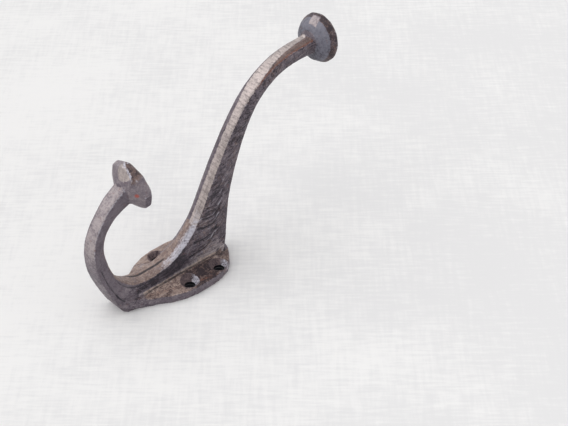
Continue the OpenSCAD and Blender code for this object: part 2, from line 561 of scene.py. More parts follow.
    def on_flank(self, places: Any, share: Any, side: Side) -> np.ndarray:
        """Points on a flank.

        Args:
            places: Places along the spine, in stations.
            share: Shares of the depth, from front to back.
            side: Which flank.

        Returns:
            Rows of x, y and z in millimetres.
        """
        rows = self.at(places)
        t = np.broadcast_to(np.asarray(share, float), (len(rows),))[:, None]
        out_up = rows[:, 0:2] * (1 - t) + rows[:, 2:4] * t
        x = side.value * self.half_width(places, share)
        return np.stack([x, -out_up[:, 0], out_up[:, 1]], 1)

    def build(self) -> bpy.types.Object:
        """Lofts the spine with a node tree that reads the rails and the section.

        Returns:
            A closed mesh of the bare bar.
        """
        places = np.linspace(0, self.last, self.last * self.steps + 1)
        rows = self.at(places)
        ends = rows[[0, -1]].copy()
        ends[:, 0:2] = ends[:, 2:4] = (ends[:, 0:2] + ends[:, 2:4]) / 2
        ends[:, 4:7] = 0
        rows = np.vstack([ends[:1], rows, ends[1:]])
        toe = self.toe(rows)
        flat = np.zeros(len(rows))
        rails = mesh_of("spine", np.zeros((len(rows), 3)))
        write(rails.data, "front", np.stack([flat, -rows[:, 0], rows[:, 1]], 1) * MM)
        write(rails.data, "back", np.stack([flat, -rows[:, 2], rows[:, 3]], 1) * MM)
        write(rails.data, "widths", rows[:, 4:7] * MM)
        write(rails.data, "toe", toe)
        half = [(*corner, 1.0) for corner in self.CORNERS]
        loop = half + [(*corner[:5], -1.0) for corner in reversed(half)] + half[:1]
        table = np.array(loop)
        section = mesh_of("section", np.zeros((len(table), 3)))
        write(section.data, "depth", np.column_stack([table[:, 0:2], table[:, 5]]))
        write(section.data, "shares", table[:, 2:5])
        made = loft_tree().run(rails, Section=section, Section_points=len(table))
        drop(section)
        return outward(made, 2e-6)

    def length_to(self, places: np.ndarray) -> np.ndarray:
        """Length of the bar's middle line up to each place, in millimetres."""
        stops = np.linspace(0, self.last, 400)
        spots = self.at(stops)
        spots = (spots[:, 0:2] + spots[:, 2:4]) / 2
        runs = np.concatenate([[0], np.cumsum(np.hypot(*np.diff(spots, axis=0).T))])
        return np.interp(places, stops, runs)

    def nearest(self, points: np.ndarray) -> tuple[np.ndarray, np.ndarray]:
        """Finds where points lie along and through the spine.

        Args:
            points: Rows of x, y and z in millimetres.

        Returns:
            The place along the spine, in stations, and the depth share.
        """
        places = np.linspace(0, self.last, self.last * 12 + 1)
        rows = self.at(places)
        start, run = rows[:, 0:2], rows[:, 2:4] - rows[:, 0:2]
        length = (run**2).sum(1)
        place, share = np.empty(len(points)), np.empty(len(points))
        batch = 20000
        for first in range(0, len(points), batch):
            part = points[first : first + batch]
            flat = np.stack([-part[:, 1], part[:, 2]], 1)[:, None, :] - start
            t = np.clip((flat * run).sum(2) / length, -0.4, 1.4)
            gap = ((flat - t[..., None] * run) ** 2).sum(2)
            best = gap.argmin(1)
            index = np.arange(len(part))
            place[first : first + batch] = places[best]
            share[first : first + batch] = t[index, best]
        return place, share


def loft_tree() -> Modifier:
    """A tree that draws a section at every ring of the rails.

    Returns:
        A tree that works on a mesh of ring points with the attributes front,
        back, widths and toe, and reads the section's own attributes.
    """
    tree = Modifier(
        "loft_along_rails",
        {
            "Section": ("NodeSocketObject", None),
            "Section points": ("NodeSocketInt", 15),
            "Iron": ("NodeSocketMaterial", None),
        },
    )
    g = tree.graph
    rails = tree.value("Geometry")
    corners = tree.value("Section points")
    section = g.add(
        "GeometryNodeObjectInfo", {"Object": tree.value("Section")}, "Geometry"
    )
    rings = g.add("GeometryNodeAttributeDomainSize", {"Geometry": rails}, "Point Count")
    grid = g.add("GeometryNodeMeshGrid", {"Vertices X": rings, "Vertices Y": corners}, "Mesh")
    index = g.add("GeometryNodeInputIndex")
    ring = g.math("FLOOR", g.math("DIVIDE", index, corners))
    corner = g.math("FLOORED_MODULO", index, corners)

    def read(source: Any, name: str, where: Any, kind: str = "FLOAT_VECTOR") -> Any:
        """Reads a named attribute of another mesh at a point number."""
        return g.add(
            "GeometryNodeSampleIndex",
            {"Geometry": source, "Value": g.attribute(name, kind), "Index": where},
            data_type=kind,
            domain="POINT",
        )

    front, back = read(rails, "front", ring), read(rails, "back", ring)
    widths, toe = read(rails, "widths", ring), read(rails, "toe", ring, "FLOAT")
    depth = g.add("ShaderNodeSeparateXYZ", {0: read(section, "depth", corner)}).node
    share = g.math("MULTIPLY_ADD", depth.outputs[1], toe, depth.outputs[0])
    half = g.vector("DOT_PRODUCT", read(section, "shares", corner), widths, out="Value")
    middle = g.add(
        "ShaderNodeMix", {0: share, 4: front, 5: back}, 1, data_type="VECTOR", clamp_factor=False
    )
    aside = g.combine(g.math("MULTIPLY", half, depth.outputs[2]), 0.0, 0.0)
    placed = g.add(
        "GeometryNodeSetPosition", {"Geometry": grid, "Position": g.vector("ADD", middle, aside)}
    )
    welded = g.add("GeometryNodeMergeByDistance", {"Geometry": placed, "Distance": 2e-6})
    tree.finish(welded, tree.value("Iron"))
    return tree


# ------------------------------------------------------------ plate and knobs


@dataclass
class Plate:
    """The wall plate, with a soft edge round its face."""

    width: float = 40.0
    top: float = 24.0
    tip: float = 46.0
    thick: float = 4.6
    tip_width: float = 13.0
    round_over: float = 0.45  # how far the rim's edge is rounded in
    rim: float = 0.4  # how far below the face that rounding starts
    middle: tuple[float, float] = (0.0, -8.0)  # where it is rounded towards, x and z

    def outline(self) -> np.ndarray:
        """The plate's outline in x and z, once round."""
        low = np.array([0.5 * self.tip_width, 0.12 * self.tip_width - self.tip])
        wing = np.array([self.width / 2, -0.2 * self.tip])
        lower = [(0.07, 0.12), (0.27, 0.28), (0.47, 0.44), (0.73, 0.60), (0.91, 0.79)]
        upper = [(1, 0.02), (0.955, 0.29), (0.85, 0.54), (0.66, 0.73), (0.43, 0.88)]
        upper += [(0.28, 0.96), (0.15, 1)]
        half = [(0.35 * self.tip_width, -self.tip), tuple(low)]
        half += [tuple(low + (wing - low) * np.array(f)) for f in lower]
        half += [tuple(wing)] + [(wing[0] * f, self.top * h) for f, h in upper]
        right = np.array(half)
        return np.vstack([right, right[::-1] * [-1, 1]])

    def build(self) -> bpy.types.Object:
        """Makes the plate as three stacked outlines between flat faces."""
        ring = self.outline()
        centre = np.array(self.middle)
        reach = np.linalg.norm(ring - centre, axis=1, keepdims=True)
        inner = ring - (ring - centre) / reach * self.round_over
        layers = [(ring, 0.0), (ring, self.thick - self.rim), (inner, self.thick)]
        points = np.vstack(
            [np.column_stack([r[:, 0], np.full(len(r), -out), r[:, 1]]) for r, out in layers]
        )
        return outward(mesh_of("plate", points, ring_faces(len(ring), len(layers))))


class KnobForm(Enum):
    """The two forms of knob: flats, roundness, and rings of share and height."""

    ROUND = (12, 0.55, ((0.35, 0.0), (0.6, 1.5), (0.77, 3.1), (0.865, 4.7), (0.895, 5.5),
                        (0.965, 7.2), (1.0, 8.6), (0.97, 9.5), (0.8, 10.7), (0.5, 11.4)))
    FLATTED = (8, 0.12, ((0.35, 0.0), (0.66, 2.6), (0.95, 5.0), (0.985, 5.5),
                         (1.0, 8.5), (0.97, 9.2), (0.8, 10.5), (0.5, 11.4)))


@dataclass
class Knob:
    """A mushroom knob: a cone or dome, a band and a low crown."""

    form: KnobForm
    foot: tuple[float, float]  # where its axis leaves the bar, out and up
    lean: float  # degrees from upright, away from the wall
    size: float  # diameter across the corners
    sunk: float = 1.56  # how far the cone starts inside the bar
    sides: int = 96  # points on each ring

    @property
    def turn(self) -> np.ndarray:
        """Rows of the knob's own x, y and z directions."""
        return np.array(Matrix.Rotation(math.radians(self.lean), 3, "X").transposed())

    @property
    def base(self) -> np.ndarray:
        """The point on the axis where the cone starts."""
        return np.array([0.0, -self.foot[0], self.foot[1]]) - self.turn[2] * self.sunk

    def build(self) -> bpy.types.Object:
        """Makes the knob from rings that lie between a polygon and a circle."""
        flats, roundness, rings = self.form.value
        turns = np.arange(self.sides) * 2 * math.pi / self.sides
        wedge = math.pi / flats
        flat = math.cos(wedge) / np.cos(np.mod(turns, 2 * wedge) - wedge)
        radius = (flat * (1 - roundness) + roundness) * self.size / 2
        points = np.vstack(
            [
                np.column_stack(
                    [radius * share * np.cos(turns), radius * share * np.sin(turns), turns * 0 + h]
                )
                for share, h in rings
            ]
        )
        faces = ring_faces(self.sides, len(rings))
        return outward(mesh_of("knob", points @ self.turn + self.base, faces))

    def polar(self, points: np.ndarray) -> tuple[np.ndarray, np.ndarray, np.ndarray]:
        """Points round the knob's own axis.

        Args:
            points: Rows of x, y and z in millimetres.

        Returns:
            Each point's radius, its angle from 0 to 360 degrees, and its height.
        """
        local = (points - self.base) @ self.turn.T
        angle = np.degrees(np.arctan2(local[:, 1], local[:, 0])) % 360
        return np.hypot(local[:, 0], local[:, 1]), angle, local[:, 2]


# ---------------------------------------------------------- gouges and screws


@dataclass
class Gouges:
    """The gouges on both flanks, the crease below them and the raised seams."""

    count: int = 12
    width: float = 2.5
    depth: float = 0.55
    # Where the crease starts and ends: two stations, then two depth shares.
    crease: tuple[float, float, float, float] = (5.2, 8.2, 0.64, 0.68)
    crease_depth: float = 0.5

    def lines(self, spine: Spine) -> list[np.ndarray]:
        """Runs of points along the bottom of every gouge.

        Args:
            spine: The bar that they are cut in.

        Returns:
            One array of rows of x, y and z for each gouge.
        """
        found = []
        for side in Side:
            for k in range(self.count):
                t = np.linspace(0, 1, 9)
                low_share = max(0.45 - 0.2 * k, 0.1 + 0.013 * k)
                place = spine.root + (0.9 + 0.68 * k) * (1 - t) + (2.95 + 0.525 * k) * t
                share = low_share * (1 - t) + 0.56 * t + 0.05 * np.sin(math.pi * t)
                found.append(spine.on_flank(place, share, side))
        return found

    def creases(self, spine: Spine) -> list[np.ndarray]:
        """The shallow crease down each side of the lower hook's bend."""
        t = np.linspace(0, 1, 14)
        start, end, first, last = self.crease
        place = start + (end - start) * t
        share = first + (last - first) * t
        return [spine.on_flank(place, share, side) for side in Side]

    def ridges(self, spine: Spine) -> list[np.ndarray]:
        """The raised lines along which the flanks meet the plate."""
        place = np.linspace(spine.root - 2.6, spine.root + 2.2, 40)
        toe = spine.toe(spine.at(place))
        return [spine.on_flank(place, toe, side) for side in Side]


def guide(name: str, lines: Sequence[np.ndarray]) -> bpy.types.Object:
    """A mesh of loose edges along lines of points.

    Args:
        name: The object's name.
        lines: Arrays of rows of x, y and z in millimetres.

    Returns:
        The new object.
    """
    starts = np.cumsum([0] + [len(line) for line in lines])
    edges = [
        (int(first) + i, int(first) + i + 1)
        for first, line in zip(starts, lines)
        for i in range(len(line) - 1)
    ]
    return mesh_of(name, np.vstack(lines), edges=edges)


@dataclass
class Screws:
    """The four countersunk screw holes."""

    across: float = 27.0
    along: float = 19.6
    bore: float = 5.6
    sink: float = 9.8
    sink_depth: float = 2.8
    thick: float = 4.6
    sides: int = 64  # points round the cutter
    collar: float = 0.1  # short straight run on either side of the bore's mouth
    clear: float = 4.0  # how far the cutter stands out of the plate's face

    @property
    def floor(self) -> float:
        """Height above the wall at which the countersink meets the bore."""
        return self.thick - self.sink_depth

    def centres(self) -> np.ndarray:
        """The holes' centres on the wall, as rows of x, y and z."""
        return np.array(
            [
                (x * self.across / 2, 0.0, z * self.along / 2)
                for x in (-1, 1)
                for z in (-1, 1)
            ]
        )

    def cutter(self) -> bpy.types.Object:
        """A lathed cutter for one hole, along -Y from the wall."""
        rings = [
            (self.bore / 2, 1.0),
            (self.bore / 2, -(self.floor - self.collar)),
            (self.bore / 2, -self.floor),
            (self.bore / 2 + self.collar, -(self.floor + 0.12)),
            (self.sink / 2, -self.thick),
            (self.sink / 2 + 0.3, -(self.thick + self.clear)),
        ]
        turns = np.arange(self.sides) * 2 * math.pi / self.sides
        points = np.vstack(
            [
                np.column_stack([r * np.cos(turns), np.full(self.sides, y), r * np.sin(turns)])
                for r, y in rings
            ]
        )
        return outward(mesh_of("hole_cutter", points, ring_faces(self.sides, len(rings))))

    def cut(self, casting: bpy.types.Object) -> bpy.types.Object:
        """Cuts the four holes in the casting.

        Args:
            casting: The mesh that gets the holes.

        Returns:
            The same object.
        """
        cutter = self.cutter()
        points = mesh_of("hole_centres", self.centres())
        repeat_tree().run(points, Copied=cutter)
        boolean = casting.modifiers.new("holes", "BOOLEAN")
        boolean.operation = "DIFFERENCE"
        boolean.solver = "MANIFOLD"
        boolean.object = points
        settle(casting)
        drop(points, cutter)
        return casting


def repeat_tree() -> Modifier:
    """A tree that puts a copy of one object on every point."""
    tree = Modifier(
        "copy_on_points",
        {"Copied": ("NodeSocketObject", None), "Iron": ("NodeSocketMaterial", None)},
    )
    g = tree.graph
    copied = g.add("GeometryNodeObjectInfo", {"Object": tree.value("Copied")}, "Geometry")
    copies = g.add(
        "GeometryNodeInstanceOnPoints", {"Points": tree.value("Geometry"), "Instance": copied}
    )
    tree.finish(copies, tree.value("Iron"))
    return tree


def skin_tree() -> Modifier:
    """A tree that carves the gouges and gives the surface its cast skin.

    Returns:
        A tree that reads the attributes depth, the share of the full depth
        that a gouge has, filed, which is 1 on flat ground faces, and still,
        which is 1 where nothing moves. It writes carve, the depth of a gouge
        in millimetres, and ridge, which is 1 on the raised seams.
    """
    number, thing = "NodeSocketFloat", "NodeSocketObject"
    tree = Modifier(
        "cast_skin",
        {
            "Gouges": (thing, None),
            "Gouge width": (number, 2.5),
            "Gouge depth": (number, 0.5),
            "Creases": (thing, None),
            "Crease depth": (number, 0.35),
            "Ridges": (thing, None),
            "Ridge height": (number, 0.3),
            "Swell size": (number, 12.0),
            "Swell": (number, 0.3),
            "Dent size": (number, 3.4),
            "Dent": (number, 0.3),
            "Grain size": (number, 1.2),
            "Grain": (number, 0.12),
            "Seed": (number, 4.0),
            "Iron": ("NodeSocketMaterial", None),
        },
    )
    g = tree.graph
    at = g.vector("SCALE", g.add("GeometryNodeInputPosition"))
    at.node.inputs["Scale"].default_value = 1 / MM
    seeded = g.vector("ADD", at, g.combine(tree.value("Seed"), 0.0, 0.0))
    wobble = g.math("MULTIPLY", g.math("SUBTRACT", g.noise(seeded, 0.4, 2.0), 0.5), 1.3)

    def line_share(label: str, half: Any, waver: float) -> bpy.types.NodeSocket:
        """How near each point is to a guide's lines, from 0 to 1 on them."""
        mesh = g.add("GeometryNodeObjectInfo", {"Object": tree.value(label)}, "Geometry")
        gap = g.add(
            "GeometryNodeProximity", {"Geometry": mesh}, "Distance", target_element="EDGES"
        )
        gap = g.math("MULTIPLY_ADD", wobble, waver, g.math("MULTIPLY", gap, 1 / MM))
        return g.step(gap, half, 0.0)

    def waves(label: str, detail: float) -> bpy.types.NodeSocket:
        """Noise of a named size and height around 0, in millimetres."""
        scale = g.math("DIVIDE", 1.0, tree.value(label + " size"))
        values = {"Vector": seeded, "Scale": scale, "Detail": detail, "Roughness": 0.55}
        value = g.add("ShaderNodeTexNoise", values)
        return g.math("MULTIPLY", g.math("SUBTRACT", value, 0.5), tree.value(label))

    half = g.math("MULTIPLY", tree.value("Gouge width"), 0.55)
    gouge = g.math("MULTIPLY", line_share("Gouges", half, 1.0), tree.value("Gouge depth"))
    gouge = g.math("MULTIPLY", gouge, g.attribute("depth"))
    crease = g.math("MULTIPLY", line_share("Creases", 0.9, 0.5), tree.value("Crease depth"))
    carve = g.math("MAXIMUM", gouge, crease)
    raised = line_share("Ridges", 1.6, 1.0)
    ridge = g.math("MULTIPLY", raised, tree.value("Ridge height"))
    rough = g.math("ADD", waves("Dent", 2.0), waves("Grain", 2.0))
    rough = g.math("MULTIPLY", rough, g.math("SUBTRACT", 1.0, g.attribute("filed")))
    height = g.math("ADD", g.math("ADD", waves("Swell", 1.0), rough), ridge)
    height = g.math("SUBTRACT", height, carve)
    height = g.math("MULTIPLY", height, g.math("SUBTRACT", 1.0, g.attribute("still")))
    offset = g.vector("SCALE", g.add("GeometryNodeInputNormal"))
    g.feed(offset.node.inputs["Scale"], g.math("MULTIPLY", height, MM))
    kept = tree.value("Geometry")
    for name, value in (("carve", carve), ("ridge", raised)):
        kept = g.add(
            "GeometryNodeStoreNamedAttribute",
            {"Geometry": kept, "Name": name, "Value": value},
            data_type="FLOAT",
            domain="POINT",
        )
    moved = g.add("GeometryNodeSetPosition", {"Geometry": kept, "Offset": offset})
    tree.finish(moved, tree.value("Iron"))
    return tree


# -------------------------------------------------------------------- finishes


@dataclass(frozen=True)
class CastIron:
    """Bare waxed cast iron: skin, oxide, rust, ground faces and worn edges, with painted shade in
    hollows, corners and bores, and painted highlights on edges, the bend, the seams and the
    countersinks.
    """

    skin_deep: Rgb = (0.028, 0.022, 0.031)
    skin_dark: Rgb = (0.082, 0.064, 0.082)
    skin: Rgb = (0.168, 0.14, 0.165)
    skin_pale: Rgb = (0.45, 0.39, 0.395)
    brown: Rgb = (0.15, 0.094, 0.078)
    tan: Rgb = (0.46, 0.345, 0.285)
    blue: Rgb = (0.17, 0.172, 0.215)
    # near black: oxide in gouges and hollows, and painted shade in corners and bores
    oxide_and_shade: Rgb = (0.014, 0.014, 0.021)
    rust: Rgb = (0.2, 0.075, 0.045)
    red: Rgb = (0.42, 0.075, 0.045)
    ground: Rgb = (0.53, 0.455, 0.435)
    ground_dark: Rgb = (0.25, 0.215, 0.21)
    # light grey of worn edges and of painted highlights
    polish_and_highlight: Rgb = (0.56, 0.55, 0.62)
    umber: Rgb = (0.036, 0.022, 0.026)
    slate: Rgb = (0.05, 0.05, 0.068)
    # sunk: the countersinks' colour, darkened partly as painted shade; turned: a painted highlight
    # on one sector of each countersink
    sunk: Rgb = (0.24, 0.175, 0.175)
    turned: Rgb = (0.9, 0.88, 0.98)
    rough_skin: float = 0.5
    rough_ground: float = 0.38
    metal_skin: float = 0.25
    metal_ground: float = 0.5

    def build(self) -> bpy.types.Material:
        """Makes the material from the casting's own attributes.

        Returns:
            The material.
        """
        material, g = blank_material("cast_iron")
        at = g.vector("SCALE", g.add("ShaderNodeTexCoord", out="Object"))
        at.node.inputs["Scale"].default_value = 1 / MM

        def read(name: str, out: str = "Fac") -> bpy.types.NodeSocket:
            """Reads one of the casting's attributes."""
            return g.add("ShaderNodeAttribute", out=out, attribute_name=name)

        def ragged(value: Any, noise: Any, reach: float) -> bpy.types.NodeSocket:
            """A value with noise around 0 added to it."""
            return g.math("MULTIPLY_ADD", g.math("SUBTRACT", noise, 0.5), reach, value)

        broad = g.noise(at, 0.1, 3.0, 0.55)
        patch = g.noise(at, 0.26, 4.0, 0.62, 0.6)
        blot = g.noise(at, 0.55, 3.0, 0.6, 0.3)
        fine = g.noise(at, 1.05, 3.0, 0.65)
        grain = g.noise(at, 2.4, 3.0, 0.65)
        hair = g.noise(read("hair", "Vector"), 1.0, 4.0, 0.65, 0.6)
        carve = read("carve")

        combed = g.math("MULTIPLY", g.math("SUBTRACT", hair, 0.5), read("comb"))
        mottle = ragged(ragged(ragged(0.0, patch, 1.5), fine, 1.3), grain, 1.2)
        mottle = g.math("MULTIPLY_ADD", combed, 2.0, mottle)
        lift = g.math("MULTIPLY_ADD", mottle, read("busy"), read("tone"))
        # Painted highlight along the raised seams where the flanks meet the plate.
        lift = g.math("MULTIPLY_ADD", read("ridge"), 0.8, lift)
        base = g.mix(g.step(lift, -0.2, 0.15), self.skin_deep, self.skin_dark)
        base = g.mix(g.step(lift, 0.1, 0.5), base, self.skin)
        base = g.mix(g.step(lift, 0.5, 1.45), base, self.skin_pale)
        warm = g.mix(g.step(lift, 0.15, 1.35), self.brown, self.tan)
        warm = g.mix(g.step(lift, 0.2, -0.15), warm, self.umber)
        share = g.step(ragged(ragged(read("brown"), blot, 1.1), broad, 0.8), 0.35, 0.9)
        base = g.mix(g.math("MULTIPLY", share, 0.8), base, warm)
        share = g.step(ragged(read("blue"), patch, 0.7), 0.3, 0.8)
        cool = g.mix(g.step(lift, 0.0, 0.8), self.slate, self.blue)
        base = g.mix(g.math("MULTIPLY", share, 0.85), base, cool)

        # Oxide in the gouges and hollows, and painted shade in the concave corners.
        sunken = ragged(ragged(read("hollow"), fine, 0.3), patch, 0.2)
        dark = g.math("MULTIPLY", g.step(sunken, 0.1, 0.34), 0.85)
        gouged = g.step(ragged(ragged(carve, fine, 1.0), hair, 1.4), 0.15, 0.8)
        gouged = g.math("MULTIPLY", gouged, 0.45)
        dark = g.math("MAXIMUM", dark, gouged)
        base = g.mix(dark, base, self.oxide_and_shade)

        rusty = g.math("MULTIPLY", g.step(g.noise(at, 0.42, 4.0, 0.72), 0.58, 0.7), 0.5)
        rusty = g.math("MULTIPLY", rusty, g.step(grain, 0.38, 0.6))
        lined = g.step(ragged(ragged(read("rust"), fine, 1.0), patch, 1.2), 0.3, 0.8)
        base = g.mix(g.math("MAXIMUM", rusty, g.math("MULTIPLY", lined, 0.7)), base, self.rust)

        ground = g.step(ragged(ragged(read("ground"), blot, 0.9), fine, 1.1), -0.1, 0.35)
        marks = g.noise(read("marks", "Vector"), 1.0, 3.0, 0.7)
        scored = g.step(ragged(ragged(marks, fine, 0.5), grain, 0.3), 0.3, 0.62)
        filed = g.mix(scored, self.ground_dark, self.ground)
        stain = g.math("MULTIPLY", g.step(patch, 0.5, 0.7), 0.45)
        filed = g.mix(stain, filed, self.ground_dark)
        base = g.mix(g.math("MULTIPLY", ground, 0.93), base, filed)

        # Convex edges are lightened, partly as real wear and partly as painted highlight, together
        # with the painted highlights marked on the bend, the neck and the knob ridge.
        worn = g.math("MULTIPLY", g.step(ragged(read("edge"), fine, 0.1), 0.045, 0.11), 0.65)
        gleam = g.step(ragged(ragged(read("highlight_and_wear"), hair, 1.5), fine, 1.1), 0.25, 0.95)
        highlight_and_wear = g.math("MAXIMUM", worn, g.math("MULTIPLY", gleam, 0.85))
        base = g.mix(highlight_and_wear, base, self.polish_and_highlight)
        # Countersinks: a painted highlight on one sector, painted shade on the rest, with dark
        # speckle.
        cone = g.mix(read("turned"), self.sunk, self.turned)
        cone = g.mix(g.step(ragged(fine, grain, 0.8), 0.6, 0.3), cone, self.skin_dark)
        base = g.mix(read("sink"), base, cone)
        # Painted shade: the bores are near black.
        base = g.mix(read("bore"), base, self.oxide_and_shade)
        base = g.mix(read("red"), base, self.red)

        shine = g.math("MAXIMUM", g.math("MAXIMUM", ground, highlight_and_wear), read("turned"))
        rough = g.blend(shine, self.rough_skin, self.rough_ground)
        rough = ragged(ragged(rough, grain, 0.3), blot, 0.25)
        rough = g.math("MULTIPLY_ADD", dark, 0.2, rough, clamp=True)
        metal = g.blend(shine, self.metal_skin, self.metal_ground)

        bumps = g.math("MULTIPLY", g.math("SUBTRACT", 1.0, ground), g.blend(0.5, fine, grain))
        scratch = g.math("MULTIPLY", ground, g.math("MULTIPLY", marks, 0.6))
        height = g.math("ADD", g.math("MULTIPLY", bumps, 1.5), scratch)
        height = g.math("MULTIPLY_ADD", combed, 2.2, height)
        normal = g.add(
            "ShaderNodeBump", {"Strength": 0.85, "Distance": 0.35 * MM, "Height": height}
        )
        shader = g.add(
            "ShaderNodeBsdfPrincipled",
            {
                "Base Color": base,
                "Roughness": rough,
                "Metallic": metal,
                "Specular IOR Level": 0.45,
                "Normal": normal,
            },
        )
        g.add("ShaderNodeOutputMaterial", {"Surface": shader})
        return material


@dataclass(frozen=True)
class PaleBoard:
    """The pale painted board that the hook lies on. It is seen from one side."""

    paint: Rgb = (0.9, 0.893, 0.89)
    brushed: Rgb = (0.82, 0.815, 0.82)
    shadow: Rgb = (0.02, 0.02, 0.024)  # under each screw hole
    brush_turn: float = 47.0  # degrees from upright to the brush strokes
    gap: float = 0.6  # rays shorter than this pass, so the back stays lit
    holes: Screws = field(default_factory=Screws)  # shadow lies under them

    def build(self) -> bpy.types.Material:
        """Makes the paint, which lets light from behind reach the casting."""
        material, g = blank_material("pale_board")
        at = g.add("ShaderNodeTexCoord", out="Object")
        turn = (0.0, math.radians(self.brush_turn), 0.0)
        level = g.add("ShaderNodeMapping", {"Vector": at, "Rotation": turn})
        across = g.add("ShaderNodeMapping", {"Vector": level, "Scale": (60.0, 1.0, 520.0)})
        down = g.add("ShaderNodeMapping", {"Vector": level, "Scale": (420.0, 1.0, 45.0)})
        strokes = g.blend(
            0.4, g.noise(across, 1.0, 3.0, 0.6), g.noise(down, 1.0, 3.0, 0.6)
        )
        strokes = g.blend(0.35, strokes, g.noise(at, 14.0, 3.0, 0.5))
        # The board is made a little darker towards +x and +z, over about 30 cm.
        aside = g.vector("DOT_PRODUCT", at, (0.68, 0.0, 0.73), out="Value")
        strokes = g.math("SUBTRACT", strokes, g.math("MULTIPLY", g.step(aside, -0.1, 0.2), 0.1))
        shade = g.mix(g.step(strokes, 0.36, 0.56), self.brushed, self.paint)
        spot = g.vector("ABSOLUTE", at)
        x, z = self.holes.across / 2 * MM, self.holes.along / 2 * MM
        spot = g.vector("LENGTH", g.vector("SUBTRACT", spot, (x, -BOARD_GAP, z)), out="Value")
        shade = g.mix(g.step(spot, 0.0042, 0.0038), shade, self.shadow)
        paint = g.add("ShaderNodeBsdfDiffuse", {"Color": shade, "Roughness": 0.6})
        clear = g.add("ShaderNodeBsdfTransparent", {"Color": (1.0, 1.0, 1.0, 1.0)})
        path = g.add("ShaderNodeLightPath").node
        behind = g.add("ShaderNodeNewGeometry", out="Backfacing")
        near = g.math("LESS_THAN", path.outputs["Ray Length"], self.gap * MM)
        near = g.math("MULTIPLY", near, g.math("SUBTRACT", 1.0, path.outputs["Is Camera Ray"]))
        hidden = g.math("MAXIMUM", behind, near)
        surface = g.add("ShaderNodeMixShader", {0: hidden, 1: paint, 2: clear})
        g.add("ShaderNodeOutputMaterial", {"Surface": surface})
        return material


# ---------------------------------------------------------------- the casting


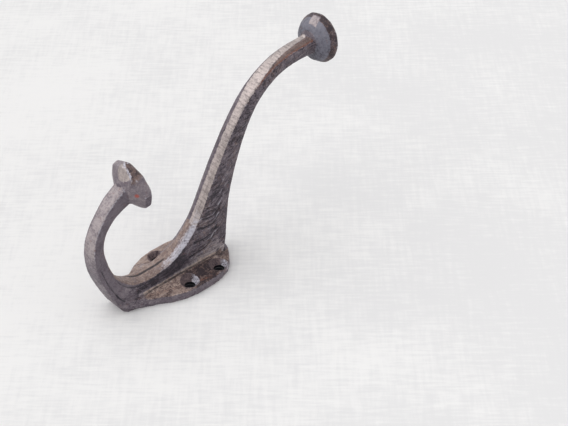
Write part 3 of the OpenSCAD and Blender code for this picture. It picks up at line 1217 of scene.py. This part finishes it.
@dataclass
class CoatHook:
    """The whole casting: bar, plate and knobs in one skin."""

    spine: Spine = field(default_factory=Spine)
    plate: Plate = field(default_factory=Plate)
    gouges: Gouges = field(default_factory=Gouges)
    screws: Screws = field(default_factory=Screws)
    iron: CastIron = field(default_factory=CastIron)
    voxel: float = 0.46  # size of the mesh's faces
    fillet: int = 9  # rounds of smoothing in the corners between the parts
    neck_fillet: int = 60  # the same where the bar runs into a knob
    knobs: list[Knob] = field(default_factory=list)

    def __post_init__(self) -> None:
        """Sets the two knobs on the ends of the bar."""
        low, high = self.spine.at([0, self.spine.last])

        def foot(row: np.ndarray, share: float) -> tuple[float, float]:
            """The point of an end section at a share of its depth."""
            return tuple(row[0:2] * (1 - share) + row[2:4] * share)

        self.knobs = [
            Knob(KnobForm.FLATTED, foot(low, 0.62), 12.0, 27.2),
            Knob(KnobForm.ROUND, foot(high, 0.37), -5.0, 26.8),
        ]

    def body(self) -> bpy.types.Object:
        """Joins the parts in one closed skin of even faces."""
        parts = [self.spine.build(), self.plate.build()] + [k.build() for k in self.knobs]
        whole = joined("hook_casting", parts)
        remesh = whole.modifiers.new("skin", "REMESH")
        remesh.mode = "VOXEL"
        remesh.voxel_size = self.voxel * MM
        settle(whole)
        return whole

    def soften(self, casting: bpy.types.Object) -> None:
        """Takes the steps out of the skin and rounds the inner corners.

        Args:
            casting: The joined skin, changed in place.
        """
        mesh = casting.data
        points = points_of(mesh)
        normals = normals_of(mesh)
        even = relaxed(mesh, relaxed(mesh, points, 3, 0.55), 2, -0.3)
        wide = relaxed(mesh, even, self.fillet)
        necks = relaxed(mesh, wide, self.neck_fillet)
        near = np.zeros(len(points))
        for knob in self.knobs:
            near = np.maximum(near, step(np.linalg.norm(points - knob.base, axis=1), 13, 8))
        wide += (necks - wide) * near[:, None]
        sunk = ((wide - even) * normals).sum(1)
        share = step(sunk, 0.08, 0.35)[:, None]
        even = even * (1 - share) + wide * share
        mesh.vertices.foreach_set("co", (even * MM).astype(np.float32).ravel())
        mesh.update()

    def strip_edges(self, place: np.ndarray) -> tuple[np.ndarray, np.ndarray]:
        """The ground strip's two edges across the arm's front, by place.

        Args:
            place: Places along the arm, in its own stations.

        Returns:
            The far and the near edge, in millimetres from the middle.
        """
        along = [0.0, 3.0, 6.0, 8.0, 9.0, 9.6, 10.2, 11.0, 12.5, 14.0]
        far = [-0.2, -0.4, -0.6, -0.8, -1.2, -2.0, -2.8, -3.3, -3.7, -4.2]
        near = [5.0, 4.6, 4.4, 4.2, 4.2, 4.2, 4.2, 3.2, 1.0, -0.8]
        return np.interp(place, along, far), np.interp(place, along, near)

    def survey(self, casting: bpy.types.Object) -> None:
        """Writes the attributes that the finish and the skin read.

        Args:
            casting: The skin, with or without its holes.
        """
        mesh = casting.data
        points, normals = points_of(mesh), normals_of(mesh)
        place, share = self.spine.nearest(points)
        rows = self.spine.at(place)
        arm = place - self.spine.root
        along = self.spine.length_to(place)
        x, out, up = points[:, 0], -points[:, 1], points[:, 2]
        half = self.spine.half_width(place, np.clip(share, 0, 1))
        on_bar = (np.abs(x) < half + 0.7) | (share < 0.35)
        on_bar &= (share > -0.12) & (share < 1.12)
        facing = rows[:, 0:2] - rows[:, 2:4]
        facing /= np.linalg.norm(facing, axis=1, keepdims=True)
        front = -normals[:, 1] * facing[:, 0] + normals[:, 2] * facing[:, 1]
        marked: dict[str, np.ndarray] = {
            name: np.zeros(len(points))
            for name in ATTRIBUTES
        }
        tone = np.full(len(points), 0.42)

        near_curve = relaxed(mesh, points, 4)
        far_curve = relaxed(mesh, points, 30)
        marked["edge"] = -((near_curve - points) * normals).sum(1)
        # Concavity: the finish darkens it, partly as oxide in the hollows and partly as painted
        # shade in the corners.
        marked["hollow"] = ((far_curve - points) * normals).sum(1)

        low, high = self.strip_edges(arm)
        inside = np.minimum(x - low, high - x)
        fore = (front > 0.55) & (share < 0.3) & on_bar
        strip = np.where(fore & (arm > 2.2), np.clip(inside, -2, 1.2), -2.0)
        outer = (front < -0.6) & (share > 0.7) & (place < 7.5) & on_bar
        worn = -0.35 - 0.3 * step(place, 3.5, 5.0)
        ground = np.maximum(strip, np.where(outer, worn, -2.0))

        flank = on_bar & (np.abs(normals[:, 0]) > 0.45)
        # The flanks get a darker tone than the front: partly their own skin, partly painted shade
        # on sides turned from the light.
        tone = np.where(flank, 0.2 + 0.16 * step(arm, 1, -3) + 0.08 * step(arm, 8, 12), tone)
        web = flank & (arm > -0.5) & (arm < 3.0)
        # The low web is lifted lighter: a painted sheen where its fillet catches the light, on top
        # of the web's own mottle.
        low_web = web * step(share, 0.4, 0.7) * step(out, 24, 12)
        tone = tone + 0.72 * low_web
        marked["blue"] = 0.3 * low_web
        # Painted shade: the flanks are darkened towards the back round the arm's root, in the
        # corner with the plate.
        shaded = flank & (arm > -4) & (arm < 1.2)
        deep = step(arm, -4, -2.2) * step(arm, 1.2, 0.2) * step(share, 0.75, 0.45)
        tone = np.where(shaded, tone - 0.48 * deep, tone)
        tone = tone + 0.16 * (on_bar & ~fore) * step(place, 6.0, 8.0) * step(place, 11.0, 9.5)
        tone = np.where(outer, 0.58 + 0.5 * step(place, 5.6, 3.8), tone)
        tone = np.where(outer, tone - 0.3 * step(x, -2.0, -3.4), tone)
        tone = np.where(fore & (x < low), 0.34, tone)
        tip = fore & (x > high) & (arm > 10.5)
        tone = np.where(tip, 0.25, tone)
        marked["brown"] = np.where(tip, 0.9, marked["brown"])
        root = fore & (arm <= 2.4)
        tone = np.where(root, 0.62, tone)
        marked["brown"] = np.where(root, 0.85, marked["brown"])
        marked["comb"] = np.where(flank, 0.45 + 0.55 * step(arm, -3.0, -0.5), 0.5)
        marked["busy"] = np.where(flank, 0.45 + 0.75 * step(arm, -6.0, -3.0), 0.9) + 0.5 * low_web
        marked["brown"] = np.where(flank & (arm > 0), 0.42, marked["brown"])
        behind = normals[:, 1] > 0.35
        marked["brown"][behind] = 0.38
        marked["busy"][behind] = 1.15
        marked["rust"] = fore * step(arm, 9.2, 10.5) * step(x, 3.1, 3.7)

        wing = (np.abs(normals[:, 1]) > 0.5) & (out > 2.0) & (out < 7.2) & (np.abs(x) > 6.3)
        between = step(up, -12, -8.5) * step(up, 13, 9) * step(x, 7.0, 8.5)
        lower = 0.5 + 0.1 * step(up, -12, -18) - 0.75 * between
        tone = np.where(wing, np.where(x < 0, 0.78, lower), tone)
        seam = wing & (x > 0) & (np.abs(x - 11.4 - 0.3 * (up + 22)) < 0.9)
        marked["rust"] = np.maximum(marked["rust"], 0.4 * seam)
        # Painted shade in the corner where the near flank meets the wing.
        corner_shade = wing * (x > 0) * (np.abs(x - rows[:, 5] - 1.1) < 0.5)
        marked["brown"] = np.where(wing, 0.9 * step(up, -39, -31), marked["brown"])
        tone = np.where(wing, tone - 0.25 * step(up, -29, -36), tone)
        marked["busy"] = np.where(wing, np.where(x > 0, 1.9, 1.1), marked["busy"])
        rim = (np.abs(normals[:, 1]) <= 0.6) & (out < 4.5) & (share > 0.4)
        tone = np.where(rim, 0.52, tone)
        marked["brown"] = np.where(rim, 0.0, marked["brown"])
        on_plate = ~on_bar & (out < 5.2)
        marked["edge"] *= (1 - on_plate) * (1 - 0.45 * step(place, 3, 5) * (arm < -1))
        lip = ~on_bar & (out > 3.7) & (out < 4.65) & (normals[:, 1] > -0.93)
        line_places = [8.0, 8.4, 9.0, 9.5, 10.4, 11.1, 11.7]
        line = np.interp(place, line_places, [-6.0, -5.0, -1.7, -0.5, -0.9, -0.4, 0.1])
        # Painted shadow on the wing just past the spine's far front edge.
        far_edge_shadow = (share < 0.3) * step(place, 7.9, 8.2) * step(place, 12.2, 11.2)
        far_edge_shadow = far_edge_shadow * step(np.abs(x - line), 0.85, 0.4)
        hem = (np.abs(x - rows[:, 4]) < 0.5) * (share < 0.2)
        hem = hem * step(arm, -6.5, -5) * step(arm, 0, -2)
        # All added to the hollow darkening: a dark line on the rim's top edge, the painted shadow
        # past the far front edge, the painted corner shade, and a dark line on the lower hook's
        # near front edge.
        marked["hollow"] += 0.4 * lip + 0.5 * far_edge_shadow + 0.13 * corner_shade + 0.3 * hem

        # Painted highlight along the front of the arm's bend; a light patch at the lower neck,
        # partly chips and partly painted glint.
        bend = step(arm, -1.8, 0.4) * step(arm, 4.2, 1.8) * step(x, -0.8, 3.0) * fore
        gap = np.linalg.norm(points - np.array([3.6, -73.0, -37.0]), axis=1)
        marked["highlight_and_wear"] = np.maximum(bend * 0.8, step(gap, 3.2, 1.0) * 0.7)
        self.survey_screws(points, marked)
        self.survey_knobs(points, marked, tone, ground)
        marked["tone"], marked["ground"] = tone, ground
        marked["filed"] = np.clip(ground + 0.3, 0, 1)
        marked["still"] = step(out, 0.9, 0.3)
        marked["depth"] = 0.35 + 0.65 * step(arm, 7.0, 3.0)

        u = (share - 0.12) / 0.44
        phase = (arm - 0.9 * (1 - u) - 2.95 * u) / np.clip(0.68 * (1 - u) + 0.525 * u, 0.3, 2)
        gouged = np.stack([phase * 4.6, u * 1.5, np.sign(x) * 7.0], 1)
        depth = np.hypot(rows[:, 2] - rows[:, 0], rows[:, 3] - rows[:, 1])
        drawn = np.stack([share * depth * 0.95, along * 0.2, x * 0.95], 1)
        rolled = np.stack([x * 0.9, up * 0.22, out * 0.3 + 60], 1)
        hair = np.where((flank & (arm > -1.2))[:, None], gouged, drawn)
        hatched = np.stack([along * 1.1, x * 0.2, share * 0.4 + 30], 1)
        hair = np.where(outer[:, None], hatched, hair)
        marked["hair"] = np.where(wing[:, None], rolled, hair)
        marked["marks"] = np.stack([along * 0.95, x * 0.12, share * 0.4], 1)
        for name, values in marked.items():
            write(mesh, name, values)

    def survey_screws(self, points: np.ndarray, marked: dict[str, np.ndarray]) -> None:
        """Marks the countersinks, with a painted highlight on one sector of each, and the bores,
        which are painted dark as shade.

        Args:
            points: The skin's points in millimetres.
            marked: Attributes by name, changed in place.
        """
        x, out, up = points[:, 0], -points[:, 1], points[:, 2]
        for centre in self.screws.centres():
            gap = np.hypot(x - centre[0], up - centre[2])
            wall = (gap < self.screws.sink / 2 + 0.1) & (out > self.screws.floor - 0.05)
            marked["sink"][wall & (out < 6.5)] = 1.0
            # Marks one sector of each countersink for the painted highlight, faint on the far
            # holes.
            spin = np.degrees(np.arctan2(up - centre[2], x - centre[0]))
            sector = step(spin, 5, 75) * step(spin, 135, 100) * (1.0 if centre[0] > 0 else 0.15)
            marked["turned"] = np.where(wall, sector, marked["turned"])
            # Painted shade: the bores' walls are marked to be painted near black.
            hole = (gap < self.screws.bore / 2 + 0.05) & (out < self.screws.floor + 0.05)
            marked["bore"][hole] = 1.0

    def survey_knobs(
        self,
        points: np.ndarray,
        marked: dict[str, np.ndarray],
        tone: np.ndarray,
        ground: np.ndarray,
    ) -> None:
        """Marks the knobs' own faces.

        Args:
            points: The skin's points in millimetres.
            marked: Attributes by name, changed in place.
            tone: How light the skin is, changed in place.
            ground: Distance into ground faces, changed in place.
        """
        for knob in self.knobs:
            radius, angle, height = knob.polar(points)
            here = (height > 0.6) & (height < 12.5) & (radius < knob.size * 0.56)
            here &= (radius > 4.9 + 0.4 * height) | (height > 5.2)
            under = here & (height < 5.3)
            band = here & ~under
            reach = radius + np.maximum(height - 5.2, 0)
            for name in ("brown", "highlight_and_wear", "rust"):
                marked[name][here] = 0.0
            marked["busy"][here] = 0.7
            marked["comb"][here] = 0.3
            ground[here] = -2.0
            if knob.form is KnobForm.ROUND:
                lit = np.cos(np.radians(angle - 300))
                tone[under] = (0.5 + 0.3 * lit)[under]
                marked["blue"][under] = 1.0
                tone[band] = -0.06
                marked["brown"][band] = 0.75
                turned = (angle - 268 + 180) % 360 - 180
                wide, deep = np.radians(turned) * radius, reach - 11.6
                gap = np.maximum(np.abs(wide + 0.3 * deep), np.abs(deep) * 1.1)
                pale = step(gap, 3.1, 2.3) * here
                tone += (1.15 - tone) * pale
                for name in ("blue", "brown"):
                    marked[name] *= 1 - pale
                marked["busy"][here] = 1.1
                continue
            spin = np.radians(angle)
            a, b = radius * np.cos(spin), radius * np.sin(spin)
            crest_angles = [245, 257, 285, 308, 320, 330]
            crest = np.interp(angle, crest_angles, [18.5, 16.5, 12.9, 11.0, 8.8, 5.0])
            beyond = (reach - crest) * 0.7
            patch = 1.0 - np.hypot((a - 1.4) / 4.8, (b + 10.8) / 3.7)
            patch = np.minimum(patch * 3.0, (-0.2 - beyond) * 0.8)
            ground[here] = np.maximum(ground, patch)[here]
            tone[here] = np.where(beyond > 0, 0.05 + 0.73 * step(angle, 298, 332), 0.76)[here]
            tone[under & (a < -2)] = 0.68
            tone[band & (angle < 80)] = 0.3
            brown = here & (beyond > -0.2) & (angle > 200)
            marked["brown"][brown] = (0.95 * step(angle, 335, 300))[brown]
            gap = np.hypot(a - 9.35, b + 1.1)
            marked["red"] = np.maximum(marked["red"], under * step(gap, 1.3, 0.7) * 0.8)
            # Painted highlight along the flatted knob's ridge.
            ridge = here & (angle > 250) & (angle < 325) & (np.abs(beyond) < 0.5)
            marked["highlight_and_wear"][ridge] = (0.75 * step(angle, 325, 298))[ridge]

    def build(self) -> bpy.types.Object:
        """Builds the casting and dresses it.

        Returns:
            The finished piece.
        """
        material = self.iron.build()
        casting = self.body()
        LOG.info("skin: %d points", len(casting.data.vertices))
        self.soften(casting)
        self.survey(casting)
        guides = [
            guide("gouges", self.gouges.lines(self.spine)),
            guide("creases", self.gouges.creases(self.spine)),
            guide("ridges", self.gouges.ridges(self.spine)),
        ]
        skin_tree().run(
            casting,
            Gouges=guides[0],
            Gouge_width=self.gouges.width,
            Gouge_depth=self.gouges.depth,
            Creases=guides[1],
            Crease_depth=self.gouges.crease_depth,
            Ridges=guides[2],
            Iron=material,
        )
        drop(*guides)
        self.screws.cut(casting)
        self.survey(casting)
        mesh = casting.data
        mesh.materials.clear()
        mesh.materials.append(material)
        mesh.polygons.foreach_set("use_smooth", [True] * len(mesh.polygons))
        mesh.update()
        return casting


# ------------------------------------------------------------------- the stage


@dataclass
class Stage:
    """The board, the light and the camera."""

    board: PaleBoard = field(default_factory=PaleBoard)
    board_size: float = 2400.0
    sky: float = 0.62
    backdrop: float = 0.9  # the sky's strength where it is seen, not lighting
    key: float = 1.5
    fill: float = 0.2
    eye: tuple[float, float, float] = (448.8, -476.3, -344.5)
    right: tuple[float, float, float] = (0.680, 0.005, 0.733)
    up: tuple[float, float, float] = (-0.449, -0.788, 0.422)
    lens: float = 89.2

    def build(self) -> None:
        """Makes the board, the sky, the lamps and the camera."""
        s = self.board_size / 2
        y = BOARD_GAP / MM
        corners = [(-s, y, -s), (s, y, -s), (s, y, s), (-s, y, s)]
        board = mesh_of("board", corners, [(0, 1, 2, 3)])
        board.data.materials.append(self.board.build())
        if board.data.polygons[0].normal.y > 0:
            board.data.flip_normals()
        self.light()
        self.camera()

    def light(self) -> None:
        """Lights the scene with a pale sky and two soft lamps."""
        world = bpy.data.worlds.new("pale_sky")
        world.use_nodes = True
        world.node_tree.nodes.clear()
        g = Graph(world.node_tree)
        path = g.add("ShaderNodeLightPath").node
        seen = g.math(
            "MAXIMUM", path.outputs["Is Camera Ray"], path.outputs["Is Transmission Ray"]
        )
        seen = g.math("MAXIMUM", seen, path.outputs["Is Glossy Ray"])
        power = g.blend(seen, self.sky, self.backdrop)
        shader = g.add("ShaderNodeBackground", {"Color": (1.0, 1.0, 1.0, 1.0), "Strength": power})
        g.add("ShaderNodeOutputWorld", {"Surface": shader})
        bpy.context.scene.world = world
        right, up = Vector(self.right), Vector(self.up)
        for name, power, towards, spread in (
            ("key", self.key, Vector((0, -1, 0)) * 0.9 - right * 0.75 + up * 0.3, 75),
            ("fill", self.fill, Vector((0, -1, 0)) + right * 0.8 - up * 0.6, 90),
        ):
            data = bpy.data.lights.new(name, "SUN")
            data.energy = power
            data.angle = math.radians(spread)
            lamp = bpy.data.objects.new(name, data)
            lamp.rotation_euler = towards.to_track_quat("Z", "Y").to_euler()
            bpy.context.scene.collection.objects.link(lamp)

    def camera(self) -> None:
        """Sets the camera at its angle."""
        right, up = Vector(self.right).normalized(), Vector(self.up)
        back = right.cross(up).normalized()
        up = back.cross(right)
        matrix = Matrix((right, up, back)).transposed().to_4x4()
        matrix.translation = Vector(self.eye) * MM
        data = bpy.data.cameras.new("camera")
        data.lens = self.lens
        data.sensor_width = 36.0
        data.clip_start, data.clip_end = 0.01, 20.0
        eye = bpy.data.objects.new("camera", data)
        eye.matrix_world = matrix
        bpy.context.scene.collection.objects.link(eye)
        bpy.context.scene.camera = eye


def main() -> None:
    """Builds the scene in order and reports each piece."""
    logging.basicConfig(level=logging.INFO, format="%(name)s: %(message)s")
    bpy.context.scene.view_settings.view_transform = "Standard"
    Stage().build()
    hook = CoatHook().build()
    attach(hook, "root")
    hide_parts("hook")
    LOG.info("%s: %d faces", hook.name, len(hook.data.polygons))


if __name__ == "__main__":
    main()
